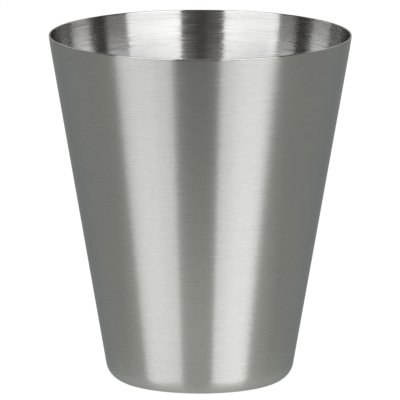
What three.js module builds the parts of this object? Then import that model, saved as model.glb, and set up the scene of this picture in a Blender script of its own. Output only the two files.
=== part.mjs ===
// Brushed stainless steel bathroom tumbler: a conical cup drawn from one sheet, with a rim that turns a
// little more upright, a round lip, a turned base corner and a base panel pressed up into the cup. A non-slip
// pad sits in the hollow under the panel, held by a disc of adhesive. Millimetres, +Z up. The origin is the
// middle of the pad's underside, on the surface that the tumbler stands on.
import * as THREE from "three";

// Cup
const mouthDiameter = 88; // outside, over the lip
const cupHeight = 101.9; // from the flat ring of the base to the top of the lip
const sheetThickness = 0.5;
const baseFlatDiameter = 43.2; // outer edge of the flat ring, where the base corner starts
const baseCornerRadius = 5.8; // outside, from the flat ring to the wall
const baseRingWidth = 2; // flat ring between the base corner and the bend up to the panel
const panelRise = 0.8; // how far the middle of the base is pressed up
const panelBendRadius = 1.2; // of each half of the S bend, at the middle of the sheet
const rimTurn = THREE.MathUtils.degToRad(2.2); // how far the rim turns upright from the lean of the wall
const rimBendRadius = 130; // outside, of the bend from the wall to the lip

// Pad and adhesive
const padProud = 0.6; // how far the pad reaches below the flat ring
const padMargin = 0.6; // from the pad's rim to the bend around the panel
const padEdgeRadius = 0.35;
const adhesiveThickness = 0.2;
const adhesiveMargin = 0.8; // how far the adhesive stays inside the pad's rim

// Facets
const turnSegments = 80; // around the axis
const arcDivisions = 3; // each arc of a section gets twice as many chords
const samePoint = 1e-6; // points of a section that are closer than this are one

// Heights above the surface that the tumbler stands on
const ringHeight = padProud;
const panelHeight = ringHeight + panelRise; // underside of the panel
const padTop = panelHeight - adhesiveThickness;
const lipTop = ringHeight + cupHeight;

// The S bend turns down by this angle and back again, and its two arcs make up the whole rise
const bendAngle = Math.acos(1 - panelRise / (2 * panelBendRadius));
const bendRun = 2 * panelBendRadius * Math.sin(bendAngle);

// Radii from the axis
const cornerCentreRadius = baseFlatDiameter / 2;
const ringInnerRadius = cornerCentreRadius - baseRingWidth;
const panelRadius = ringInnerRadius - bendRun;
const padRadius = panelRadius - padMargin;
const adhesiveRadius = padRadius - adhesiveMargin;

// The lip is a half round as thick as the sheet
const lipRadius = sheetThickness / 2;
const lipCentre = new THREE.Vector2(mouthDiameter / 2 - lipRadius, lipTop - lipRadius);

// The wall is straight and touches the base corner and the bend of the rim, which ends at the lip. That sets
// its lean from upright.
const cornerCentre = new THREE.Vector2(cornerCentreRadius, ringHeight + baseCornerRadius);
const cornerToLip = lipCentre.clone().sub(cornerCentre);
const rimBendToLip = rimBendRadius - lipRadius; // from the centre of the rim's bend
const lipOffWall = baseCornerRadius - rimBendRadius + rimBendToLip * Math.cos(rimTurn); // square to the wall
const wallLean =
  Math.atan2(cornerToLip.x, cornerToLip.y) - Math.asin(lipOffWall / cornerToLip.length());
const rimLean = wallLean - rimTurn;
const rimCentre = new THREE.Vector2(
  lipCentre.x - rimBendToLip * Math.cos(rimLean),
  lipCentre.y + rimBendToLip * Math.sin(rimLean),
);

const brushedSteel = new THREE.MeshStandardMaterial({ color: 0xb9b8b3, roughness: 0.32, metalness: 1 });
const blackRubber = new THREE.MeshStandardMaterial({ color: 0x26272a, roughness: 0.9, metalness: 0 });
const clearAdhesive = new THREE.MeshStandardMaterial({ color: 0xd8d4c4, roughness: 0.45, metalness: 0 });

// A solid of revolution from its section, a list of (radius, height) points that starts and ends on the axis
function revolve(name, section, material) {
  const points = section.filter((p, i) => i === 0 || p.distanceTo(section[i - 1]) > samePoint);
  const geometry = new THREE.LatheGeometry(points, turnSegments);
  geometry.rotateX(Math.PI / 2);
  const mesh = new THREE.Mesh(geometry, material);
  mesh.name = name;
  return mesh;
}

// One face of the sheet, from the axis out to the lip. The inset is 0 for the outside of the cup
// and one thickness for the inside, so the sheet has the same gauge all the way.
function sheetFace(inset) {
  const down = -Math.PI / 2;
  const up = Math.PI / 2;
  const innerArc = panelBendRadius - sheetThickness / 2 + inset; // its centre is below the panel
  const outerArc = panelBendRadius + sheetThickness / 2 - inset; // its centre is above the ring
  const face = new THREE.Path();
  face.moveTo(0, panelHeight + inset);
  face.lineTo(panelRadius, panelHeight + inset);
  face.absarc(panelRadius, panelHeight + inset - innerArc, innerArc, up, up - bendAngle, true);
  face.absarc(ringInnerRadius, ringHeight + inset + outerArc, outerArc, down - bendAngle, down, false);
  face.absarc(cornerCentre.x, cornerCentre.y, baseCornerRadius - inset, down, -wallLean, false);
  face.absarc(rimCentre.x, rimCentre.y, rimBendRadius - inset, -wallLean, -rimLean, false);
  return face.getPoints(arcDivisions);
}

// The half round that joins the outside of the rim to its inside
function lip() {
  const round = new THREE.Path();
  round.absarc(lipCentre.x, lipCentre.y, lipRadius, -rimLean, Math.PI - rimLean, false);
  return round.getPoints(arcDivisions);
}

function drawnCup() {
  const section = [...sheetFace(0), ...lip(), ...sheetFace(sheetThickness).reverse()];
  return revolve("drawn_cup", section, brushedSteel);
}

function padAdhesive() {
  const section = [
    new THREE.Vector2(0, padTop),
    new THREE.Vector2(adhesiveRadius, padTop),
    new THREE.Vector2(adhesiveRadius, panelHeight),
    new THREE.Vector2(0, panelHeight),
  ];
  return revolve("pad_adhesive", section, clearAdhesive);
}

// The pad is flat on both sides, and its lower edge is rounded
function nonSlipPad() {
  const section = new THREE.Path();
  section.moveTo(0, 0);
  section.lineTo(padRadius - padEdgeRadius, 0);
  section.absarc(padRadius - padEdgeRadius, padEdgeRadius, padEdgeRadius, -Math.PI / 2, 0, false);
  section.lineTo(padRadius, padTop);
  section.lineTo(0, padTop);
  return revolve("non_slip_pad", section.getPoints(arcDivisions), blackRubber);
}

const tumbler = new THREE.Group();
tumbler.name = "bathroom_tumbler";
tumbler.add(drawnCup(), padAdhesive(), nonSlipPad());

export default tumbler;
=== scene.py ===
import bpy
import math
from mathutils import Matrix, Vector


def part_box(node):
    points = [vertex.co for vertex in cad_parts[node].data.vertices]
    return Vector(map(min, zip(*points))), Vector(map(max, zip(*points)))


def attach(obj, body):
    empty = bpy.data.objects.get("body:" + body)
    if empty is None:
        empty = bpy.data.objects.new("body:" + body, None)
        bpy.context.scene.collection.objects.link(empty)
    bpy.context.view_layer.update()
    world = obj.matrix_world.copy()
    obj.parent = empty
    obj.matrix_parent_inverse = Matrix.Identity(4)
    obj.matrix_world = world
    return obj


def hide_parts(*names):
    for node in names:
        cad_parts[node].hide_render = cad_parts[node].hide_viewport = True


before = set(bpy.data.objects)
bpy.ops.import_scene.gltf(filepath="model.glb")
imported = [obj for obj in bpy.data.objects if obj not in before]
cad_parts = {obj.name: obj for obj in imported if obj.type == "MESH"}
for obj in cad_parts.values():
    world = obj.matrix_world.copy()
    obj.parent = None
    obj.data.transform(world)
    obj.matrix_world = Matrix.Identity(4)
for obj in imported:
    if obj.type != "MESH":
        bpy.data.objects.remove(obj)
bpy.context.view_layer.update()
mm = 0.001
samePlace = 0.005 * mm  # vertices closer than this are one
creaseAngle = math.radians(35)  # edges of the pad and the film that turn more than this stay sharp
noiseSpan = {"From Min": 0.3, "From Max": 0.7}  # where most values of a noise lie
print("frame loaded:", sorted(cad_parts))


def linear(hexColour):
    # sRGB hex to the linear colour that a shader takes
    shares = [int(hexColour[i : i + 2], 16) / 255 for i in (1, 3, 5)]
    return [s / 12.92 if s <= 0.04045 else ((s + 0.055) / 1.055) ** 2.4 for s in shares] + [1]


def addNode(tree, kind, values=None, links=None, **settings):
    node = tree.nodes.new(kind)
    for name, setting in settings.items():
        setattr(node, name, setting)
    for socket, value in (values or {}).items():
        node.inputs[socket].default_value = value
    for socket, source in (links or {}).items():
        tree.links.new(source, node.inputs[socket])
    return node


def newMaterial(name):
    material = bpy.data.materials.new(name)
    material.use_nodes = True
    tree = material.node_tree
    tree.nodes.clear()
    shader = addNode(tree, "ShaderNodeBsdfPrincipled")
    addNode(tree, "ShaderNodeOutputMaterial", links={"Surface": shader.outputs["BSDF"]})
    return material, tree, shader


# Modelling by hand, one step each

def startPoint(name, place):
    # one vertex to draw a section from
    bpy.ops.object.select_all(action="DESELECT")
    bpy.ops.mesh.primitive_plane_add(size=mm)
    piece = bpy.context.active_object
    piece.name = piece.data.name = name
    bpy.ops.object.mode_set(mode="EDIT")
    bpy.ops.mesh.select_all(action="SELECT")
    bpy.ops.mesh.merge(type="CENTER")
    bpy.ops.transform.translate(value=(place[0], 0, place[1]))
    return piece


def drawBy(across, up):
    bpy.ops.mesh.extrude_region_move(TRANSFORM_OT_translate={"value": (across, 0, up)})


def drawArc(centre, angle, steps):
    # a positive angle runs from +X towards +Z
    bpy.ops.mesh.spin(steps=steps, angle=angle, center=(centre[0], 0, centre[1]), axis=(0, 1, 0))


def turnRound(steps):
    # the section, once round the axis, with its seam and its poles closed
    bpy.ops.mesh.select_all(action="SELECT")
    bpy.ops.mesh.spin(steps=steps, angle=2 * math.pi, center=(0, 0, 0), axis=(0, 0, 1))
    bpy.ops.mesh.select_all(action="SELECT")
    bpy.ops.mesh.remove_doubles(threshold=samePlace)
    bpy.ops.mesh.normals_make_consistent(inside=False)
    bpy.ops.object.mode_set(mode="OBJECT")


def applyModifier(piece, kind, **settings):
    modifier = piece.modifiers.new(kind.title(), kind)
    for name, setting in settings.items():
        setattr(modifier, name, setting)
    bpy.ops.object.modifier_apply(modifier=modifier.name)


def standsFor(piece, node, material):
    piece.data.materials.clear()
    piece.data.materials.append(material)
    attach(piece, "root")
    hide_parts(node)


# Cup: one drawn sheet, modelled as its outside and then given its gauge

cupValues = {
    "sheet": 0.5 * mm,
    "flatDiameter": 43.2 * mm,  # outer edge of the flat ring
    "cornerRadius": 5.8 * mm,
    "ringWidth": 2 * mm,
    "panelRise": 0.8 * mm,
    "bendRadius": 1.2 * mm,  # at the middle of the sheet
    "rimTurn": math.radians(2.2),  # the rim stands a little more upright than the wall
    "rimBendRadius": 130 * mm,
    "guard": 0.4 * mm,  # a narrow ring at the end of a flat keeps the bend's shading off it
    "bendSteps": 8,
    "cornerSteps": 20,
    "wallSteps": 16,
    "rimSteps": 10,
    "roundSteps": 192,
    "lipSteps": 5,
    "lipEdge": math.radians(60),  # only the two edges of the lip turn more than this
    "lipRound": 0.98,  # of half the sheet, just short of where the two roundings would meet
    "light": "#c9c9c8",
    "dark": "#c6c6c5",
    "toneSpan": (0.7, 1.3),  # hairline and streak added up, from dark to light
    "hairline": 0.3 * mm,  # drawn several times coarser than a real one, so that it shows
    "hairlineLength": 9 * mm,
    "streak": 1.6 * mm,
    "streakLength": 45 * mm,
    "usualRadius": 35 * mm,  # where these lengths hold; nearer the axis they are shorter
    "apart": 1000,  # cells from one pattern to the next, so that no two are alike
    "roughness": (0.265, 0.295),
    "insideRoughness": (0.15, 0.29),  # smoother, with coarser lines here and there
    "insideBlend": 0.1,  # outward share of the normal, within which one goes over into the other
    "lipRoughness": 0.12,  # burnished
    "lipHeight": 0.45 * mm,
    "lipBlend": 0.135 * mm,  # half the width of the change from brushed to burnished
    "anisotropy": 0.97,
    "grainTurn": 0.25,  # of a full turn, so that the spread runs across the hairlines
    "edge": "#e1e1e1",  # steel gives back less of the light that grazes it than most metals do
    "sway": (0.006, 0.009),  # radians that a hairline's facets turn round the axis, outside and inside
    "tilt": (0.02, 0.01),  # and up or down
}


def makeCup(values):
    low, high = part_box("drawn_cup")
    ringHeight, lipTop, mouthRadius = low.z, high.z, high.x
    cornerRadius, rimRadius = values["cornerRadius"], values["rimBendRadius"]
    guard = values["guard"]
    lipRadius = values["sheet"] / 2
    bendAngle = math.acos(1 - values["panelRise"] / (2 * values["bendRadius"]))
    ringOuter = values["flatDiameter"] / 2
    ringInner = ringOuter - values["ringWidth"]
    panelRadius = ringInner - 2 * values["bendRadius"] * math.sin(bendAngle)
    panelHeight = ringHeight + values["panelRise"]
    innerBend = values["bendRadius"] - lipRadius
    outerBend = values["bendRadius"] + lipRadius
    corner = Vector((ringOuter, ringHeight + cornerRadius))
    lip = Vector((mouthRadius - lipRadius, lipTop - lipRadius))
    # the straight wall touches the corner's arc and the rim's, which ends at the lip
    toLip = lip - corner
    rimToLip = rimRadius - lipRadius
    lipOffWall = cornerRadius - rimRadius + rimToLip * math.cos(values["rimTurn"])
    lean = math.atan2(toLip.x, toLip.y) - math.asin(lipOffWall / toLip.length)
    rimLean = lean - values["rimTurn"]
    offWall = Vector((math.cos(lean), -math.sin(lean)))
    offRim = Vector((math.cos(rimLean), -math.sin(rimLean)))
    rim = lip - offRim * rimToLip
    foot = corner + offWall * cornerRadius
    head = rim + offWall * rimRadius

    cup = startPoint("cup", (0, panelHeight))
    drawBy(panelRadius - guard, 0)
    drawBy(guard, 0)
    drawArc((panelRadius, panelHeight - innerBend), -bendAngle, values["bendSteps"])
    drawArc((ringInner, ringHeight + outerBend), bendAngle, values["bendSteps"])
    drawBy(guard, 0)
    drawBy(values["ringWidth"] - 2 * guard, 0)
    drawBy(guard, 0)
    drawArc(corner, math.pi / 2 - lean, values["cornerSteps"])
    # the rings of the wall crowd towards both ends, which keeps the bends' shading off it as well
    steps = values["wallSteps"]
    shares = [(1 - math.cos(math.pi * i / steps)) / 2 for i in range(steps + 1)]
    for before, after in zip(shares, shares[1:]):
        step = (head - foot) * (after - before)
        drawBy(step.x, step.y)
    drawArc(rim, values["rimTurn"], values["rimSteps"])
    drawBy(math.sin(rimLean) * lipRadius, math.cos(rimLean) * lipRadius)
    turnRound(values["roundSteps"])
    applyModifier(cup, "SOLIDIFY", thickness=values["sheet"], offset=-1, use_even_offset=True)
    applyModifier(
        cup, "BEVEL", limit_method="ANGLE", angle_limit=values["lipEdge"],
        width=lipRadius * values["lipRound"], segments=values["lipSteps"],
    )
    bpy.ops.object.shade_smooth()
    return cup


cup = makeCup(cupValues)
print("cup modelled:", len(cup.data.polygons), "faces")


# Brushed stainless steel: 18/8 sheet, brushed on a lathe with an abrasive belt. Its hairlines run round the
# axis, so they spread a reflection up and down the wall and leave it sharp across. The inside is smoother
# than the outside and shows a sharper room, and the lip is burnished.

def brushedSteel(values):
    material, tree, shader = newMaterial("brushed stainless steel")
    place = addNode(tree, "ShaderNodeTexCoord").outputs["Object"]
    flat = addNode(
        tree, "ShaderNodeVectorMath", {1: (1, 1, 0)}, {0: place}, operation="MULTIPLY"
    ).outputs["Vector"]
    around = addNode(tree, "ShaderNodeVectorMath", links={0: flat}, operation="NORMALIZE").outputs["Vector"]
    radius = addNode(tree, "ShaderNodeVectorMath", links={0: flat}, operation="LENGTH").outputs["Value"]
    height = addNode(tree, "ShaderNodeSeparateXYZ", links={0: place}).outputs["Z"]
    along = addNode(tree, "ShaderNodeMath", links={0: radius, 1: height}, operation="ADD").outputs[0]

    def lines(width, length, number):
        # noise drawn out round the axis: one cell is a line's length by its width
        turn = addNode(
            tree, "ShaderNodeVectorMath", {"Scale": values["usualRadius"] / length}, {0: around},
            operation="SCALE",
        ).outputs["Vector"]
        rise = addNode(
            tree, "ShaderNodeMath", {1: 1 / width, 2: number * values["apart"]}, {0: along},
            operation="MULTIPLY_ADD",
        ).outputs[0]
        up = addNode(tree, "ShaderNodeCombineXYZ", links={"Z": rise}).outputs[0]
        point = addNode(
            tree, "ShaderNodeVectorMath", links={0: turn, 1: up}, operation="ADD"
        ).outputs["Vector"]
        return addNode(
            tree, "ShaderNodeTexNoise", {"Scale": 1, "Detail": 2, "Roughness": 0.6}, {"Vector": point}
        ).outputs["Fac"]

    hair = lines(values["hairline"], values["hairlineLength"], 0)
    streak = lines(values["streak"], values["streakLength"], 1)
    swayLines = lines(values["hairline"], values["hairlineLength"], 2)
    tiltLines = lines(values["hairline"], values["hairlineLength"], 3)

    tone = addNode(tree, "ShaderNodeMath", links={0: hair, 1: streak}, operation="ADD").outputs[0]
    darkest, lightest = values["toneSpan"]
    share = addNode(
        tree, "ShaderNodeMapRange", {"From Min": darkest, "From Max": lightest}, {"Value": tone}
    ).outputs["Result"]
    colour = addNode(
        tree, "ShaderNodeMix", {"A": linear(values["dark"]), "B": linear(values["light"])},
        {"Factor": share}, data_type="RGBA",
    )
    tree.links.new(colour.outputs["Result"], shader.inputs["Base Color"])

    # the inside is where the sheet faces the axis
    normal = addNode(tree, "ShaderNodeNewGeometry").outputs["Normal"]
    outward = addNode(
        tree, "ShaderNodeVectorMath", links={0: normal, 1: around}, operation="DOT_PRODUCT"
    ).outputs["Value"]
    inside = addNode(
        tree, "ShaderNodeMapRange",
        {"From Min": values["insideBlend"], "From Max": -values["insideBlend"]}, {"Value": outward},
    ).outputs["Result"]
    outer, inner = [
        addNode(
            tree, "ShaderNodeMapRange", {**noiseSpan, "To Min": least, "To Max": most}, {"Value": hair}
        ).outputs["Result"]
        for least, most in (values["roughness"], values["insideRoughness"])
    ]
    brushed = addNode(
        tree, "ShaderNodeMix", links={"Factor": inside, "A": outer, "B": inner}, data_type="FLOAT"
    ).outputs["Result"]
    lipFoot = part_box("drawn_cup")[1].z - values["lipHeight"]
    onLip = addNode(
        tree, "ShaderNodeMapRange",
        {"From Min": lipFoot - values["lipBlend"], "From Max": lipFoot + values["lipBlend"]},
        {"Value": height},
    ).outputs["Result"]
    rough = addNode(
        tree, "ShaderNodeMix", {"B": values["lipRoughness"]}, {"Factor": onLip, "A": brushed},
        data_type="FLOAT",
    ).outputs["Result"]
    tree.links.new(rough, shader.inputs["Roughness"])

    # each hairline's facets lean a little, which gives a reflection its toothed edge
    tangent = addNode(tree, "ShaderNodeTangent", direction_type="RADIAL", axis="Z").outputs["Tangent"]
    upward = addNode(
        tree, "ShaderNodeVectorMath", links={0: normal, 1: tangent}, operation="CROSS_PRODUCT"
    ).outputs["Vector"]
    leaning = normal
    for direction, pattern, (mostOutside, mostInside) in (
        (tangent, swayLines, values["sway"]),
        (upward, tiltLines, values["tilt"]),
    ):
        share = addNode(
            tree, "ShaderNodeMapRange", {**noiseSpan, "To Min": -1}, {"Value": pattern}, clamp=False
        ).outputs["Result"]
        most = addNode(
            tree, "ShaderNodeMix", {"A": mostOutside, "B": mostInside}, {"Factor": inside},
            data_type="FLOAT",
        ).outputs["Result"]
        amount = addNode(
            tree, "ShaderNodeMath", links={0: share, 1: most}, operation="MULTIPLY"
        ).outputs[0]
        part = addNode(
            tree, "ShaderNodeVectorMath", links={0: direction, "Scale": amount}, operation="SCALE"
        ).outputs["Vector"]
        leaning = addNode(
            tree, "ShaderNodeVectorMath", links={0: leaning, 1: part}, operation="ADD"
        ).outputs["Vector"]
    facet = addNode(tree, "ShaderNodeVectorMath", links={0: leaning}, operation="NORMALIZE").outputs["Vector"]
    tree.links.new(facet, shader.inputs["Normal"])
    tree.links.new(tangent, shader.inputs["Tangent"])
    shader.inputs["Metallic"].default_value = 1
    shader.inputs["Specular Tint"].default_value = linear(values["edge"])
    shader.inputs["Anisotropic"].default_value = values["anisotropy"]
    shader.inputs["Anisotropic Rotation"].default_value = values["grainTurn"]
    return material


standsFor(cup, "drawn_cup", brushedSteel(cupValues))
print("cup finished")

# Pad: a disc cut from rubber sheet, which stands proud of the base and keeps the cup from sliding

padValues = {
    "edge": 0.35 * mm,  # rounding of the lower edge
    "edgeSteps": 6,
    "cutLip": 0.06 * mm,  # the cutter draws the upper edge in a little
    "guard": 0.3 * mm,  # narrow rings beside the edges, as on the cup
    "roundSteps": 128,
    "black": "#1b1b1c",
    "rubbed": "#343435",
    "rubSpan": (0.15, 0.45),  # grain times patch, from black to rubbed
    "grain": 0.35 * mm,
    "rubPatch": 6 * mm,
    "roughness": (0.62, 0.82),  # rubbed, and as pressed
    "grainDepth": 0.04 * mm,
    "ior": 1.52,
}


def makePad(values):
    low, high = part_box("non_slip_pad")
    radius = high.x
    edge, cutLip, guard = values["edge"], values["cutLip"], values["guard"]
    pad = startPoint("pad", (0, low.z))
    drawBy(radius - edge - guard, 0)
    drawBy(guard, 0)
    drawArc((radius - edge, low.z + edge), math.pi / 2, values["edgeSteps"])
    drawBy(0, high.z - low.z - edge - cutLip)
    drawBy(-cutLip, cutLip)
    drawBy(-guard, 0)
    drawBy(-(radius - cutLip - guard), 0)
    turnRound(values["roundSteps"])
    bpy.ops.object.shade_smooth_by_angle(angle=creaseAngle)
    return pad


pad = makePad(padValues)
print("pad modelled:", len(pad.data.polygons), "faces")


# Black nitrile rubber: pressed sheet, with a fine cloth-matt grain, greyer where it has rubbed on the shelf

def blackRubber(values):
    material, tree, shader = newMaterial("black nitrile rubber")
    place = addNode(tree, "ShaderNodeTexCoord").outputs["Object"]
    grain = addNode(
        tree, "ShaderNodeTexNoise", {"Scale": 1 / values["grain"], "Detail": 3}, {"Vector": place}
    ).outputs["Fac"]
    patch = addNode(
        tree, "ShaderNodeTexNoise", {"Scale": 1 / values["rubPatch"], "Detail": 4}, {"Vector": place}
    ).outputs["Fac"]
    both = addNode(tree, "ShaderNodeMath", links={0: grain, 1: patch}, operation="MULTIPLY").outputs[0]
    blackest, greyest = values["rubSpan"]
    share = addNode(
        tree, "ShaderNodeMapRange", {"From Min": blackest, "From Max": greyest}, {"Value": both}
    ).outputs["Result"]
    colour = addNode(
        tree, "ShaderNodeMix", {"A": linear(values["black"]), "B": linear(values["rubbed"])},
        {"Factor": share}, data_type="RGBA",
    )
    tree.links.new(colour.outputs["Result"], shader.inputs["Base Color"])
    rubbed, pressed = values["roughness"]
    rough = addNode(
        tree, "ShaderNodeMapRange", {**noiseSpan, "To Min": pressed, "To Max": rubbed}, {"Value": patch}
    ).outputs["Result"]
    tree.links.new(rough, shader.inputs["Roughness"])
    bump = addNode(
        tree, "ShaderNodeBump", {"Distance": values["grainDepth"]}, {"Height": grain}
    ).outputs["Normal"]
    tree.links.new(bump, shader.inputs["Normal"])
    shader.inputs["IOR"].default_value = values["ior"]
    return material


standsFor(pad, "non_slip_pad", blackRubber(padValues))
print("pad finished")

# Adhesive: a film between the pad and the base, squeezed out a little at its edge

filmValues = {
    "edgeSteps": 6,
    "guard": 0.2 * mm,  # narrow rings beside the edge, as on the cup
    "roundSteps": 128,
    "clear": "#efeadb",
    "cloudy": "#dcd8cc",
    "bubble": 0.8 * mm,  # from one to the next
    "bubbleSpan": (0.3, 0.12),  # shares of that, from clear in to cloudy
    "roughness": (0.12, 0.4),  # clear, and cloudy
    "clearness": 0.85,
    "ior": 1.47,
}


def makeFilm(values):
    low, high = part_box("pad_adhesive")
    edge = (high.z - low.z) / 2
    radius = high.x - edge
    guard = values["guard"]
    film = startPoint("adhesive", (0, low.z))
    drawBy(radius - guard, 0)
    drawBy(guard, 0)
    drawArc((radius, low.z + edge), math.pi, values["edgeSteps"])
    drawBy(-guard, 0)
    drawBy(guard - radius, 0)
    turnRound(values["roundSteps"])
    bpy.ops.object.shade_smooth_by_angle(angle=creaseAngle)
    return film


film = makeFilm(filmValues)
print("adhesive modelled:", len(film.data.polygons), "faces")


# Clear acrylic adhesive: a rolled-on film, faintly straw-coloured, cloudy where tiny bubbles are trapped

def clearAdhesive(values):
    material, tree, shader = newMaterial("clear acrylic adhesive")
    place = addNode(tree, "ShaderNodeTexCoord").outputs["Object"]
    bubbles = addNode(
        tree, "ShaderNodeTexVoronoi", {"Scale": 1 / values["bubble"]}, {"Vector": place}
    ).outputs["Distance"]
    clearFrom, cloudyFrom = values["bubbleSpan"]
    share = addNode(
        tree, "ShaderNodeMapRange", {"From Min": clearFrom, "From Max": cloudyFrom}, {"Value": bubbles}
    ).outputs["Result"]
    colour = addNode(
        tree, "ShaderNodeMix", {"A": linear(values["clear"]), "B": linear(values["cloudy"])},
        {"Factor": share}, data_type="RGBA",
    )
    tree.links.new(colour.outputs["Result"], shader.inputs["Base Color"])
    clear, cloudy = values["roughness"]
    rough = addNode(
        tree, "ShaderNodeMapRange", {"To Min": clear, "To Max": cloudy}, {"Value": share}
    ).outputs["Result"]
    tree.links.new(rough, shader.inputs["Roughness"])
    shader.inputs["IOR"].default_value = values["ior"]
    shader.inputs["Transmission Weight"].default_value = values["clearness"]
    return material


standsFor(film, "pad_adhesive", clearAdhesive(filmValues))
print("adhesive finished")

# Stage: a pale floor, two tall softboxes left and right of the camera, two weaker ones and a backdrop behind
# the cup. The steel looks through the floor at a table top, which has pools of light on it and shows the
# front boxes once more.

studio = {
    "distance": 0.75,  # of the softboxes from the cup's axis
    "floorSize": 8,
    "floorColour": "#ffffff",  # of its glow
    "floorGlow": 0.98,
    "floorShade": "#4d4d4c",  # dark, so that the lamps add little to the glow and the cup's shadow is faint
    "floorRoughness": 0.9,
    "boxColour": "#ffffff",
    "rearColour": "#fffff6",
    "tableColour": "#fffff6",
    "tableBackColour": "#f8fffc",
    "roomColour": "#fffaf5",
    "seenColour": "#ffffff",  # what the camera sees past the floor
    "seen": 1,
    "tableFront": 0.19,  # radiance of the table top further off, and of the room above it
    "tableSides": 0.36,
    "tableBack": 0.33,
    "roomFront": 0.045,
    "roomBack": 0.13,
    "ceiling": 0.6,
}
# two azimuths (0 is the camera's side, plus is to its right), two elevations, in degrees, and radiance
softboxes = {
    "left box": (-66.5, -19.5, 0, 20, 1.6),
    "left box top": (-66.5, -19.5, 20, 50, 2.8),
    "left box in table": (-71, -23, -46, -18, 0.67),
    "left box foot": (-66, -36, -18, 0, 0.15),
    "right box": (16, 61.3, 0, 20, 1.65),
    "right box top": (16, 61.5, 20, 50, 2.95),
    "right box in table": (16.3, 60.5, -46, -18, 0.92),
    "right box foot": (28, 60.5, -18, 0, 0.38),
    "left rear box": (-168, -110, 24, 47, 0.7),
    "right rear box": (110, 168, 24, 47, 0.7),
    "backdrop": (145, 215, 4, 24, 0.36),
}


def softbox(name, fromAzimuth, toAzimuth, fromElevation, toElevation, radiance):
    ends = [
        Vector((math.sin(math.radians(a)), -math.cos(math.radians(a)), 0)) * studio["distance"]
        for a in (fromAzimuth, toAzimuth)
    ]
    lowest, highest = [
        studio["distance"] * math.tan(math.radians(e)) for e in (fromElevation, toElevation)
    ]
    middle = (ends[0] + ends[1]) / 2
    bpy.ops.object.light_add(
        type="AREA",
        location=middle + Vector((0, 0, (lowest + highest) / 2)),
        rotation=(-middle).to_track_quat("-Z", "Y").to_euler(),
    )
    lamp = bpy.context.active_object
    lamp.name = name
    lamp.data.shape = "RECTANGLE"
    lamp.data.size = (ends[1] - ends[0]).length
    lamp.data.size_y = highest - lowest
    lamp.data.energy = radiance * math.pi * lamp.data.size * lamp.data.size_y  # watts for that radiance
    lamp.data.color = linear(studio["rearColour" if middle.y > 0 else "boxColour"])[:3]
    lamp.visible_camera = False


for name, box in softboxes.items():
    softbox(name, *box)

# azimuth in degrees, distance from the axis, half width, half length, depth below the floor, and radiance
pools = {
    "wide pool": (0, 0.06, 0.25, 0.25, 2 * mm, 0.06),
    "near pool": (0, 0.06, 0.06, 0.12, 3 * mm, 0.33),
    "left pool": (-38, 0.13, 0.09, 0.09, 4 * mm, 0.45),
    "right pool": (38, 0.13, 0.09, 0.09, 5 * mm, 0.38),
}


def lightPool(name, azimuth, distance, halfWidth, halfLength, depth, radiance):
    # light on the table top in front of the cup, which only the steel sees
    turn = math.radians(azimuth)
    bpy.ops.object.select_all(action="DESELECT")
    bpy.ops.mesh.primitive_plane_add(
        size=2 * halfLength, location=(distance * math.sin(turn), -distance * math.cos(turn), -depth)
    )
    pool = bpy.context.active_object
    pool.name = name
    material = bpy.data.materials.new("lit table top")
    material.use_nodes = True
    tree = material.node_tree
    tree.nodes.clear()
    place = addNode(tree, "ShaderNodeTexCoord").outputs["Object"]
    share = addNode(
        tree, "ShaderNodeVectorMath", {1: (1 / halfWidth, 1 / halfLength, 0)}, {0: place},
        operation="MULTIPLY",
    ).outputs["Vector"]
    away = addNode(tree, "ShaderNodeVectorMath", links={0: share}, operation="LENGTH").outputs["Value"]
    strength = addNode(
        tree, "ShaderNodeMapRange", {"To Min": radiance, "To Max": 0}, {"Value": away}
    ).outputs["Result"]
    light = addNode(
        tree, "ShaderNodeEmission", {"Color": linear(studio["tableColour"])}, {"Strength": strength}
    ).outputs[0]
    clear = addNode(tree, "ShaderNodeBsdfTransparent").outputs[0]  # what lies below shows as well
    both = addNode(tree, "ShaderNodeAddShader", links={0: light, 1: clear}).outputs[0]
    addNode(tree, "ShaderNodeOutputMaterial", links={"Surface": both})
    material.cycles.emission_sampling = "NONE"  # it is no lamp
    pool.data.materials.append(material)
    pool.visible_camera = pool.visible_diffuse = pool.visible_shadow = False


for name, pool in pools.items():
    lightPool(name, *pool)

bpy.ops.object.select_all(action="DESELECT")
bpy.ops.mesh.primitive_plane_add(size=studio["floorSize"])
floor = bpy.context.active_object
floor.name = "floor"
floorMaterial, _, floorShader = newMaterial("matt white paper")
floorShader.inputs["Base Color"].default_value = linear(studio["floorShade"])
floorShader.inputs["Roughness"].default_value = studio["floorRoughness"]
floorShader.inputs["Emission Color"].default_value = linear(studio["floorColour"])
floorShader.inputs["Emission Strength"].default_value = studio["floorGlow"]
floorMaterial.cycles.emission_sampling = "NONE"  # it is no lamp either
floor.data.materials.append(floorMaterial)
floor.visible_glossy = floor.visible_shadow = False  # the steel sees the table top instead

# where the room changes, by how far a direction points back (-1 is towards the camera) or up (-1 is down)
fades = {
    "tableSides": ("back", -0.92, -0.55),
    "tableBack": ("back", -0.4, 0.3),
    "tableBackColour": ("back", 0.3, 0.8),
    "roomBack": ("back", 0.3, 0.6),
    "room": ("up", -0.02, 0.02),
    "ceiling": ("up", 0.8, 0.95),
}


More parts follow.
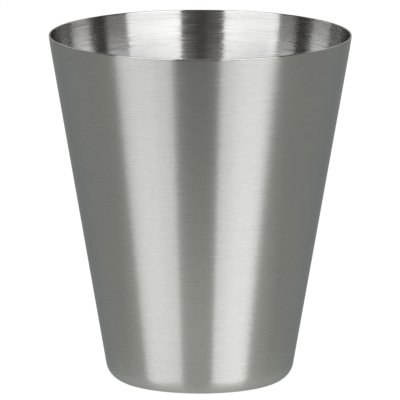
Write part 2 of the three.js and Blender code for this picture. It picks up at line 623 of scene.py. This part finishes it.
def lightRoom(values):
    # what the steel sees between the softboxes, by direction; the camera sees white
    world = bpy.data.worlds.new("studio")
    bpy.context.scene.world = world
    world.use_nodes = True
    tree = world.node_tree
    tree.nodes.clear()
    direction = addNode(tree, "ShaderNodeTexCoord").outputs["Generated"]
    flat = addNode(
        tree, "ShaderNodeVectorMath", {1: (1, 1, 0)}, {0: direction}, operation="MULTIPLY"
    ).outputs["Vector"]
    level = addNode(tree, "ShaderNodeVectorMath", links={0: flat}, operation="NORMALIZE").outputs["Vector"]
    ways = {
        "back": addNode(tree, "ShaderNodeSeparateXYZ", links={0: level}).outputs["Y"],
        "up": addNode(tree, "ShaderNodeSeparateXYZ", links={0: direction}).outputs["Z"],
    }
    shares = {}
    for name, (way, start, end) in fades.items():
        shares[name] = addNode(
            tree, "ShaderNodeMapRange", {"From Min": start, "From Max": end}, {"Value": ways[way]}
        ).outputs["Result"]

    tableSides = addNode(
        tree, "ShaderNodeMix", {"A": values["tableFront"], "B": values["tableSides"]},
        {"Factor": shares["tableSides"]}, data_type="FLOAT",
    ).outputs["Result"]
    table = addNode(
        tree, "ShaderNodeMix", {"B": values["tableBack"]},
        {"Factor": shares["tableBack"], "A": tableSides}, data_type="FLOAT",
    ).outputs["Result"]
    walls = addNode(
        tree, "ShaderNodeMix", {"A": values["roomFront"], "B": values["roomBack"]},
        {"Factor": shares["roomBack"]}, data_type="FLOAT",
    ).outputs["Result"]
    room = addNode(
        tree, "ShaderNodeMix", {"B": values["ceiling"]},
        {"Factor": shares["ceiling"], "A": walls}, data_type="FLOAT",
    ).outputs["Result"]
    radiance = addNode(
        tree, "ShaderNodeMix", links={"Factor": shares["room"], "A": table, "B": room}, data_type="FLOAT"
    ).outputs["Result"]
    tableTint = addNode(
        tree, "ShaderNodeMix",
        {"A": linear(values["tableColour"]), "B": linear(values["tableBackColour"])},
        {"Factor": shares["tableBackColour"]}, data_type="RGBA",
    ).outputs["Result"]
    tint = addNode(
        tree, "ShaderNodeMix", {"B": linear(values["roomColour"])},
        {"Factor": shares["room"], "A": tableTint}, data_type="RGBA",
    ).outputs["Result"]
    seen = addNode(tree, "ShaderNodeLightPath").outputs["Is Camera Ray"]
    strength = addNode(
        tree, "ShaderNodeMix", {"B": values["seen"]}, {"Factor": seen, "A": radiance}, data_type="FLOAT"
    ).outputs["Result"]
    colour = addNode(
        tree, "ShaderNodeMix", {"B": linear(values["seenColour"])}, {"Factor": seen, "A": tint},
        data_type="RGBA",
    ).outputs["Result"]
    background = addNode(tree, "ShaderNodeBackground", links={"Color": colour, "Strength": strength})
    addNode(tree, "ShaderNodeOutputWorld", links={"Surface": background.outputs["Background"]})


lightRoom(studio)
print("stage lit")

# Camera: far off, with a long lens, a little above the lip

view = {
    "distance": 2.64,  # sixty times the mouth's radius
    "elevation": 10.611,  # in degrees, as pitch and roll are
    "pitch": 10.568,  # less than the elevation, so the cup sits a little below the middle
    "roll": 0.08,  # the camera stands a touch askew
    "lens": 815.8,  # in millimetres, as the sensor is
    "sensor": 36,
}
low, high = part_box("drawn_cup")
middle = (low.z + high.z) / 2
rise = math.radians(view["elevation"])
bpy.ops.object.camera_add(
    location=(0, -view["distance"] * math.cos(rise), middle + view["distance"] * math.sin(rise)),
    rotation=(math.radians(90 - view["pitch"]), 0, 0),
)
camera = bpy.context.active_object
camera.rotation_euler.rotate_axis("Z", math.radians(view["roll"]))
camera.data.lens = view["lens"]
camera.data.sensor_width = view["sensor"]
bpy.context.scene.camera = camera
bpy.context.scene.view_settings.view_transform = "Standard"
print("camera placed")
